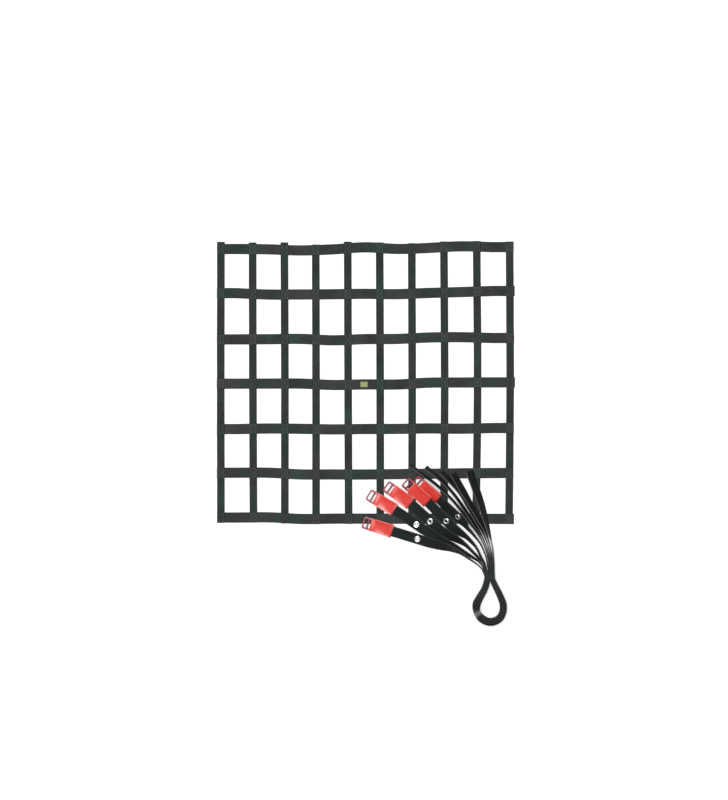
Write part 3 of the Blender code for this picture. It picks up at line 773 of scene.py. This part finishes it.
def label_material():
    """A woven olive label: fine plain weave, with a paler band beside each folded end."""
    g = Graph("woven_label")
    u, v, _ = g.uv()
    yarn = 0.5 * MM
    columns = g.math('DIVIDE', u, yarn)
    rows = g.math('ADD', g.math('DIVIDE', v, yarn),
                  g.math('MULTIPLY', g.math('MODULO', g.math('FLOOR', columns), 2.0), 0.5))
    over = g.math('MULTIPLY',
                  g.math('SINE', g.math('MULTIPLY', g.math('FRACT', columns), math.pi)),
                  g.math('SINE', g.math('MULTIPLY', g.math('FRACT', rows), math.pi)))
    cell = g.random(g.join(g.math('FLOOR', columns), g.math('FLOOR', rows)))
    cloud = g.noise(g.join(u, v), 140.0, 3.0)
    tone = g.math('ADD', g.math('MULTIPLY', over, 0.45), g.math('MULTIPLY', cloud, 0.5))
    tone = g.math('ADD', tone, g.math('MULTIPLY', g.math('SUBTRACT', cell, 0.5), 0.3))
    colour = g.mix(tone, (0.19, 0.205, 0.085), (0.44, 0.46, 0.22))
    from_end = g.math('ABSOLUTE', g.math('SUBTRACT', v, LABEL_LENGTH / 2))
    fold = g.ease(from_end, LABEL_LENGTH / 2 - 4.5 * MM, LABEL_LENGTH / 2 - 1.5 * MM)
    from_middle = g.math('ABSOLUTE', u)
    hem = g.ease(from_middle, LABEL_WIDTH / 2 - 3.5 * MM, LABEL_WIDTH / 2 - 1 * MM)
    border = g.math('MULTIPLY', g.math('MAXIMUM', fold, hem), 0.75)
    colour = g.mix(border, colour, (0.070, 0.080, 0.028))
    g.set(Base_Color=colour)
    g.set(Roughness=g.math('MULTIPLY_ADD', over, -0.15, 0.82))
    g.set(Specular_IOR_Level=0.3, Sheen_Weight=0.2)
    g.bump(over, 0.15 * MM, 0.6)
    return g.material


# Meshes


def put(name, data):
    """Makes an object that holds the data, in the scene."""
    made = bpy.data.objects.new(name, data)
    bpy.context.scene.collection.objects.link(made)
    return made


def show(name, mesh, material, matrix=None):
    """Makes a piece of the mesh and lets it ride on the body."""
    mesh.name = name
    mesh.materials.clear()
    mesh.materials.append(material)
    piece = put(name, mesh)
    if matrix is not None:
        piece.matrix_world = matrix
    bpy.context.view_layer.update()
    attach(piece, BODY)
    return piece


def keep_local(mesh):
    """Stores each vertex's place in the mesh's own axes, for materials to read."""
    stored = mesh.attributes.new(LOCAL, 'FLOAT_VECTOR', 'POINT')
    places = [c for vertex in mesh.vertices for c in vertex.co]
    stored.data.foreach_set("vector", places)


def webbing_profile(width, thickness):
    """Webbing cut across, as (across, up) points: ribbed on both faces, with round selvedges."""
    half = thickness / 2
    flat = width / 2 - half
    ribs = round(2 * flat / RIB_WIDTH)
    points = []
    for n in range(SELVEDGE_STEPS + 1):
        angle = math.pi * (n / SELVEDGE_STEPS - 0.5)
        points.append((flat + half * math.cos(angle), half * math.sin(angle)))
    for n in range(1, 2 * ribs):
        depth = 0 if n % 2 else RIB_DEPTH
        points.append((flat - flat * n / ribs, half - depth))
    return points + [(-x, -y) for x, y in points]


def webbing_mesh(name, sections, width, thickness, uv_start=0.0):
    """Webbing swept along its sections, with both cut ends sealed."""
    profile = webbing_profile(width, thickness)
    size = len(profile)
    first_ahead = (sections[1][0] - sections[0][0]).normalized()
    last_ahead = (sections[-1][0] - sections[-2][0]).normalized()
    rows = [(sections[0], 0.0, SEALED_THICKNESS)]
    along = SEALED_END
    for n, section in enumerate(sections):
        if n == 0:
            section = (section[0] + first_ahead * SEALED_END, section[1], section[2])
        elif n == len(sections) - 1:
            section = (section[0] - last_ahead * SEALED_END, section[1], section[2])
        if n > 0:
            along += (section[0] - rows[-1][0][0]).length
        rows.append((section, along, 1.0))
    rows.append((sections[-1], along + SEALED_END, SEALED_THICKNESS))

    verts = []
    for (centre, across, normal), _, thick in rows:
        verts += [centre + across * u + normal * h * thick for u, h in profile]
    faces = [tuple(reversed(range(size)))]
    uvs = [(profile[i][0], uv_start) for i in faces[0]]
    for n in range(len(rows) - 1):
        a = n * size
        b = a + size
        here = uv_start + rows[n][1]
        there = uv_start + rows[n + 1][1]
        for i in range(size):
            j = (i + 1) % size
            faces.append((a + i, a + j, b + j, b + i))
            u = profile[i][0]
            w = profile[j][0]
            uvs += [(u, here), (w, here), (w, there), (u, there)]
    last = (len(rows) - 1) * size
    faces.append(tuple(range(last, last + size)))
    uvs += [(u, uv_start + rows[-1][1]) for u, _ in profile]

    mesh = bpy.data.meshes.new(name)
    mesh.from_pydata(verts, [], faces)
    layer = mesh.uv_layers.new(name=WEAVE_UV)
    layer.uv.foreach_set("vector", [c for uv in uvs for c in uv])
    mesh.shade_smooth()
    mesh.set_sharp_from_angle(angle=math.radians(65))
    return mesh


def evaluated_mesh(piece):
    """A copy of the piece's mesh with its modifiers applied."""
    bpy.context.view_layer.update()
    depsgraph = bpy.context.evaluated_depsgraph_get()
    return bpy.data.meshes.new_from_object(piece.evaluated_get(depsgraph))


def carved_mesh(mesh, cutters):
    """The mesh with each cutter's mesh taken out of it."""
    block = put("block", mesh)
    tools = []
    for cutter in cutters:
        tool = put("tool", cutter)
        cut = block.modifiers.new("cut", 'BOOLEAN')
        cut.operation = 'DIFFERENCE'
        cut.solver = 'EXACT'
        cut.object = tool
        tools.append(tool)
    carved = evaluated_mesh(block)
    for helper in [block, *tools]:
        bpy.data.objects.remove(helper, do_unlink=True)
    return carved


def rounded_mesh(mesh, width, segments, sharper_than):
    """The mesh with every edge sharper than an angle rounded off."""
    block = put("block", mesh)
    edges = block.modifiers.new("edges", 'BEVEL')
    edges.width = width
    edges.segments = segments
    edges.limit_method = 'ANGLE'
    edges.angle_limit = math.radians(sharper_than)
    edges.use_clamp_overlap = True
    rounded = evaluated_mesh(block)
    bpy.data.objects.remove(block, do_unlink=True)
    return rounded


def prism_mesh(outline, low, high):
    """A flat outline of (x, y) points, anticlockwise, carried up from low to high."""
    bm = bmesh.new()
    bottom = [bm.verts.new((x, y, low)) for x, y in outline]
    top = [bm.verts.new((x, y, high)) for x, y in outline]
    bm.faces.new(list(reversed(bottom)))
    bm.faces.new(top)
    for i in range(len(outline)):
        j = (i + 1) % len(outline)
        bm.faces.new((bottom[i], bottom[j], top[j], top[i]))
    mesh = bpy.data.meshes.new("prism")
    bm.to_mesh(mesh)
    bm.free()
    return mesh


def rounded_rectangle(low, high, radius, steps):
    """The outline of a rectangle with round corners, anticlockwise from the lower right."""
    outline = []
    centres = ((high[0] - radius, low[1] + radius, -90), (high[0] - radius, high[1] - radius, 0),
               (low[0] + radius, high[1] - radius, 90), (low[0] + radius, low[1] + radius, 180))
    for x, y, start in centres:
        for step in range(steps + 1):
            angle = math.radians(start + 90 * step / steps)
            outline.append((x + radius * math.cos(angle), y + radius * math.sin(angle)))
    return outline


def buckle_outline(steps):
    """From its rear face at x = 0 to its round tip at x = -BUCKLE_LENGTH, narrower there."""
    half = BUCKLE_WIDTH / 2
    tip_half = BUCKLE_TIP_WIDTH / 2
    radius = BUCKLE_TIP_RADIUS
    waist = half * BUCKLE_WAIST
    outline = [(0, -half), (0, half), (-BUCKLE_LENGTH / 2, waist)]
    for side, start in ((1, 90), (-1, 180)):
        for step in range(steps + 1):
            angle = math.radians(start + 90 * step / steps)
            x = -BUCKLE_LENGTH + radius + radius * math.cos(angle)
            y = side * (tip_half - radius) + radius * math.sin(angle)
            outline.append((x, y))
    outline.append((-BUCKLE_LENGTH / 2, -waist))
    return outline


def buckle_mesh():
    """The moulding: a ladder frame of two slots, then a body with a sunk panel between rails."""
    half = BUCKLE_THICKNESS / 2
    beyond = 3 * half
    outer = -BUCKLE_LENGTH + OUTER_SLOT_FROM_TIP
    inner = outer + OUTER_SLOT + SLOT_BAR
    mesh = prism_mesh(buckle_outline(10), -half, half)
    slots = []
    for start, length in ((outer, OUTER_SLOT), (inner, INNER_SLOT)):
        outline = rounded_rectangle(
            (start, -SLOT_WIDTH / 2), (start + length, SLOT_WIDTH / 2), SLOT_CORNER, 6)
        slots.append(prism_mesh(outline, -beyond, beyond))
    mesh = carved_mesh(mesh, slots)
    mesh = rounded_mesh(mesh, EDGE_ROUNDING, 4, ROUNDED_FROM)

    panel = rounded_rectangle(
        (-PANEL_FROM_REAR - PANEL_LENGTH, -PANEL_WIDTH / 2),
        (-PANEL_FROM_REAR, PANEL_WIDTH / 2), 3 * MM, 5)
    sunk_frame = rounded_rectangle(
        (-BUCKLE_LENGTH - 10 * MM, -BUCKLE_WIDTH),
        (inner + INNER_SLOT + 1.2 * MM, BUCKLE_WIDTH), 1 * MM, 2)
    pocket = rounded_rectangle(
        (-POCKET_WIDTH / 2, -POCKET_HEIGHT / 2), (POCKET_WIDTH / 2, POCKET_HEIGHT / 2),
        POCKET_HEIGHT / 2 - 0.1 * MM, 5)
    mouth = prism_mesh(pocket, -POCKET_DEPTH, POCKET_DEPTH)
    mouth.transform(Matrix.Rotation(math.pi / 2, 4, 'Z') @ Matrix.Rotation(math.pi / 2, 4, 'X'))
    cutters = []
    for outline, depth in ((panel, PANEL_DEPTH), (sunk_frame, FRAME_STEP)):
        cutters.append(prism_mesh(outline, half - depth, beyond))
        cutters.append(prism_mesh(outline, -beyond, -half + depth))
    mesh = carved_mesh(mesh, cutters + [mouth])
    mesh = rounded_mesh(mesh, FINE_ROUNDING, 2, ROUNDED_FROM)
    keep_local(mesh)
    mesh.shade_smooth()
    mesh.set_sharp_from_angle(angle=math.radians(42))
    return mesh


def eyelet_mesh():
    """A rolled eyelet: both lips turn out over their flange, crimped in shallow lobes."""
    sides = 72
    lobes = 8
    crimp_depth = 0.22 * MM
    webbing = STRAP_THICKNESS / 2 + 0.05 * MM
    rim = 0.3 * MM
    lip = 1.15 * MM
    lip_height = webbing + 0.35 * MM
    half = [(EYELET_BARREL, webbing), (EYELET_FLANGE - 0.2 * MM, webbing)]
    for degrees in (-45, 0, 45):
        angle = math.radians(degrees)
        half.append((EYELET_FLANGE - rim + rim * math.cos(angle),
                     lip_height + rim * math.sin(angle)))
    half += [(EYELET_FLANGE - 1.2 * MM, webbing + 0.75 * MM), (7.9 * MM, webbing + 0.55 * MM)]
    for degrees in range(0, 181, 20):
        angle = math.radians(degrees)
        half.append((EYELET_HOLE + lip + lip * math.cos(angle),
                     lip_height + lip * math.sin(angle)))
    profile = half + [(r, -z) for r, z in reversed(half)]
    verts = []
    for n in range(sides):
        angle = 2 * math.pi * n / sides
        crimp = crimp_depth * max(0.0, math.cos(lobes * angle)) ** 3
        for r, z in profile:
            on_lip = smoothstep((abs(z) - lip_height) / lip)
            depth = math.copysign(crimp * on_lip, z)
            verts.append((r * math.cos(angle), r * math.sin(angle), z - depth))
    size = len(profile)
    faces = []
    for n in range(sides):
        a = n * size
        b = (n + 1) % sides * size
        for i in range(size):
            j = (i + 1) % size
            faces.append((a + i, b + i, b + j, a + j))
    mesh = bpy.data.meshes.new("eyelet")
    mesh.from_pydata(verts, [], faces)
    bm = bmesh.new()
    bm.from_mesh(mesh)
    bmesh.ops.recalc_face_normals(bm, faces=bm.faces)
    bm.to_mesh(mesh)
    bm.free()
    keep_local(mesh)
    mesh.shade_smooth()
    mesh.set_sharp_from_angle(angle=math.radians(60))
    return mesh


class Stitches:
    """Collects stitches, each a short rounded grain of thread, into one mesh."""

    def __init__(self):
        self.verts = []
        self.faces = []

    def add(self, start, end, up):
        """One stitch, whose ends dip into the webbing."""
        ahead = (end - start).normalized()
        side = ahead.cross(up)
        first = len(self.verts)
        dip = up * STITCH_RADIUS
        self.verts.append(start - dip)
        for share in (0.2, 0.8):
            centre = start.lerp(end, share)
            for degrees in STITCH_RING:
                angle = math.radians(degrees)
                self.verts.append(centre + side * STITCH_RADIUS * math.cos(angle)
                                  + up * STITCH_RADIUS * STITCH_FLATNESS * math.sin(angle))
        self.verts.append(end - dip)
        last = len(self.verts) - 1
        size = len(STITCH_RING)
        for i in range(size):
            a = first + 1 + i
            b = first + 1 + (i + 1) % size
            self.faces.append((first, b, a))
            self.faces.append((a, b, b + size, a + size))
            self.faces.append((a + size, b + size, last))

    def line(self, start, end, up):
        """A row of stitches with even gaps."""
        count = max(1, round((end - start).length / STITCH_PITCH))
        length = min(STITCH_LENGTH / ((end - start).length / count), 0.9)
        for n in range(count):
            self.add(start.lerp(end, (n + 0.5 - length / 2) / count),
                     start.lerp(end, (n + 0.5 + length / 2) / count), up)

    def box(self, corners, up):
        """A row of stitches from each corner to the next."""
        for n, corner in enumerate(corners):
            self.line(corner, corners[(n + 1) % len(corners)], up)

    def mesh(self):
        mesh = bpy.data.meshes.new("stitches")
        mesh.from_pydata(self.verts, [], self.faces)
        keep_local(mesh)
        mesh.shade_smooth()
        return mesh


def cross_stitch(stitches, i, j, height, up):
    """A sewn box with its two diagonals, where upright i and rung j cross."""
    half_x = UPRIGHT_WIDTH / 2 - STITCH_MARGIN
    half_y = RUNG_WIDTH / 2 - STITCH_MARGIN
    middle_x = upright_x(i, RUNGS[j].y * MM)
    corners = []
    for side_x, side_y in CORNERS:
        y = rung_y(j, middle_x + side_x * half_x) + side_y * half_y
        x = upright_x(i, y) + side_x * half_x
        corners.append(NET_CENTRE + Vector((x, y, height)))
    stitches.box(corners, up)
    stitches.line(corners[0], corners[2], up)
    stitches.line(corners[1], corners[3], up)


# Pieces


def make_net(upright_webbing, rung_webbing, thread):
    for i in range(len(UPRIGHTS)):
        name = f"net_upright_{i + 1:02d}"
        sections = upright_sections(i)
        mesh = webbing_mesh(name, sections, UPRIGHT_WIDTH, NET_THICKNESS, PATTERN_STEP * i)
        piece = show(f"webbing_upright_{i + 1:02d}", mesh, upright_webbing)
        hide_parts(name)
    for j in range(len(RUNGS)):
        name = f"net_rung_{j + 1:02d}"
        sections = rung_sections(j)
        mesh = webbing_mesh(name, sections, RUNG_WIDTH, NET_THICKNESS,
                            RUNG_PATTERN_START + PATTERN_STEP * j)
        piece = show(f"webbing_rung_{j + 1:02d}", mesh, rung_webbing)
        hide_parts(name)
        stitches = Stitches()
        for i in range(len(UPRIGHTS)):
            cross_stitch(stitches, i, j, NET_THICKNESS + LAYER_RISE, UP)
            cross_stitch(stitches, i, j, STITCH_RADIUS * STITCH_FLATNESS, DOWN)
        sewing = show(f"stitches_rung_{j + 1:02d}", stitches.mesh(), thread)


def make_label(material, thread):
    """The label lies along the middle rung, on the slope that the strap has there."""
    rise = (NET_THICKNESS + LABEL_THICKNESS) / 2 + GAP
    left = NET_CENTRE.x + LABEL_X - LABEL_LENGTH / 2
    rung = rung_sections(LABEL_RUNG)
    stations = 12
    centres = []
    for n in range(stations + 1):
        x = left + LABEL_LENGTH * n / stations
        after = next(m for m, section in enumerate(rung) if section[0].x > x)
        a = rung[after - 1][0]
        b = rung[after][0]
        centres.append(a.lerp(b, (x - a.x) / (b.x - a.x)) + UP * rise)
    sections = level_sections(centres)
    mesh = webbing_mesh("label", sections, LABEL_WIDTH, LABEL_THICKNESS)
    piece = show("woven_label", mesh, material)
    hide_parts("net_label")
    stitches = Stitches()
    inset = 1.6 * MM
    corners = []
    for n, side in ((0, -1), (stations, -1), (stations, 1), (0, 1)):
        centre, across, _ = sections[n]
        inward = (centres[stations // 2] - centre).normalized()
        corners.append(centre + inward * inset + UP * LABEL_THICKNESS / 2
                       + across * side * (LABEL_WIDTH / 2 - inset))
    stitches.box(corners, UP)
    sewing = show("stitches_label", stitches.mesh(), thread)


def make_straps(webbing, plastic, nickel, thread):
    buckle = buckle_mesh()
    eyelet = eyelet_mesh()
    sides = 40
    radius = EYELET_BARREL + 0.1 * MM
    hole = []
    for n in range(sides):
        angle = 2 * math.pi * n / sides
        hole.append((radius * math.cos(angle), radius * math.sin(angle)))
    beyond = 3 * STRAP_THICKNESS
    for k, head in enumerate(HEADS):
        number = k + 1
        at_eyelet = head_matrix(head, 0)
        sections = strap_sections(k)
        mesh = webbing_mesh("strap", sections, STRAP_WIDTH, STRAP_THICKNESS,
                            STRAP_PATTERN_START + PATTERN_STEP * k)
        punch = prism_mesh(hole, -beyond, beyond)
        punch.transform(at_eyelet)
        mesh = carved_mesh(mesh, [punch])
        strap = show(f"webbing_strap_{number}", mesh, webbing)
        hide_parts(f"strap_{number}", f"strap_head_{number}")
        ring = show(f"rolled_eyelet_{number}", eyelet.copy(), nickel, at_eyelet)
        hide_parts(f"eyelet_{number}")
        swing = Matrix.Rotation(buckle_swing(head), 4, 'Z')
        at_buckle = head_matrix(head, -EYELET_FROM_BUCKLE) @ swing
        moulding = show(f"moulded_buckle_{number}", buckle.copy(), plastic,
                        at_buckle)
        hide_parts(f"buckle_{number}")

        stitches = Stitches()
        _, across, normal = sections[0]
        reach = STRAP_WIDTH / 2 - STITCH_MARGIN
        for distance in SEAM_ROWS:
            middle = head_matrix(head, -EYELET_FROM_BUCKLE + distance).translation
            for side in (1, -1):
                up = normal * side
                lifted = middle + up * STRAP_THICKNESS / 2
                stitches.line(lifted - across * reach, lifted + across * reach, up)
        sewing = show(f"stitches_strap_{number}", stitches.mesh(), thread)


def make_camera():
    data = bpy.data.cameras.new("camera")
    data.sensor_width = 36
    data.lens = data.sensor_width * CAMERA_HEIGHT / (IMAGE_HEIGHT * PIXEL)
    data.clip_end = 100
    camera = put("camera", data)
    middle = photo_point(IMAGE_WIDTH / 2, IMAGE_HEIGHT / 2)
    camera.location = middle + UP * CAMERA_HEIGHT
    bpy.context.scene.camera = camera


def make_floor():
    mesh = bpy.data.meshes.new("floor")
    corners = [(x * FLOOR_HALF, y * FLOOR_HALF, 0) for x, y in CORNERS]
    mesh.from_pydata(corners, [], [(0, 1, 2, 3)])
    g = Graph("pale_floor")
    g.set(Base_Color=(0.9, 0.9, 0.9), Roughness=0.9, Specular_IOR_Level=0.2)
    g.set(Emission_Color=(1, 1, 1), Emission_Strength=FLOOR_GLOW)
    mesh.materials.append(g.material)
    floor = put("floor", mesh)
    floor.location.z = -FLOOR_DROP


def make_light(name, location, size, power):
    data = bpy.data.lights.new(name, 'AREA')
    data.shape = 'SQUARE'
    data.size = size
    data.energy = power
    light = put(name, data)
    light.location = location
    light.rotation_euler = (-Vector(location)).to_track_quat('-Z', 'Y').to_euler()
    light.visible_camera = False


def make_lights():
    world = bpy.data.worlds.new("studio")
    world.use_nodes = True
    background = world.node_tree.nodes["Background"]
    background.inputs["Color"].default_value = (1, 1, 1, 1)
    background.inputs["Strength"].default_value = WORLD_STRENGTH
    bpy.context.scene.world = world
    make_light("overhead", location=(0, 0, 6.0), size=1.6, power=300)
    make_light("key", location=(-1.2, 1.8, 5.0), size=2.0, power=30)
    bpy.context.scene.view_settings.view_transform = 'Standard'


def main():
    make_camera()
    upright_webbing = webbing_material(
        "upright_webbing", UPRIGHT_WIDTH, dark=(0.012, 0.016, 0.015), light=(0.040, 0.051, 0.048),
        selvedge=(0.014, 0.019, 0.018), worn=(0.10, 0.12, 0.11), sheen=0.08)
    rung_webbing = webbing_material(
        "rung_webbing", RUNG_WIDTH, dark=(0.016, 0.020, 0.019), light=(0.050, 0.060, 0.058),
        selvedge=(0.018, 0.023, 0.022), worn=(0.11, 0.13, 0.12), sheen=0.08)
    strap_webbing = webbing_material(
        "strap_webbing", STRAP_WIDTH, dark=(0.0025, 0.0045, 0.0042), light=(0.013, 0.019, 0.0185),
        selvedge=(0.050, 0.055, 0.056), worn=(0.13, 0.135, 0.14), sheen=0.02,
        tail_shade_from=STRAP_TAIL_SHADE_FROM)
    make_net(upright_webbing, rung_webbing, thread_material("net_thread", (0.13, 0.16, 0.15)))
    make_label(label_material(), thread_material("label_thread", (0.22, 0.24, 0.10)))
    make_straps(strap_webbing, buckle_material(), eyelet_material(),
                thread_material("strap_thread", (0.012, 0.013, 0.013)))
    make_floor()
    make_lights()


main()
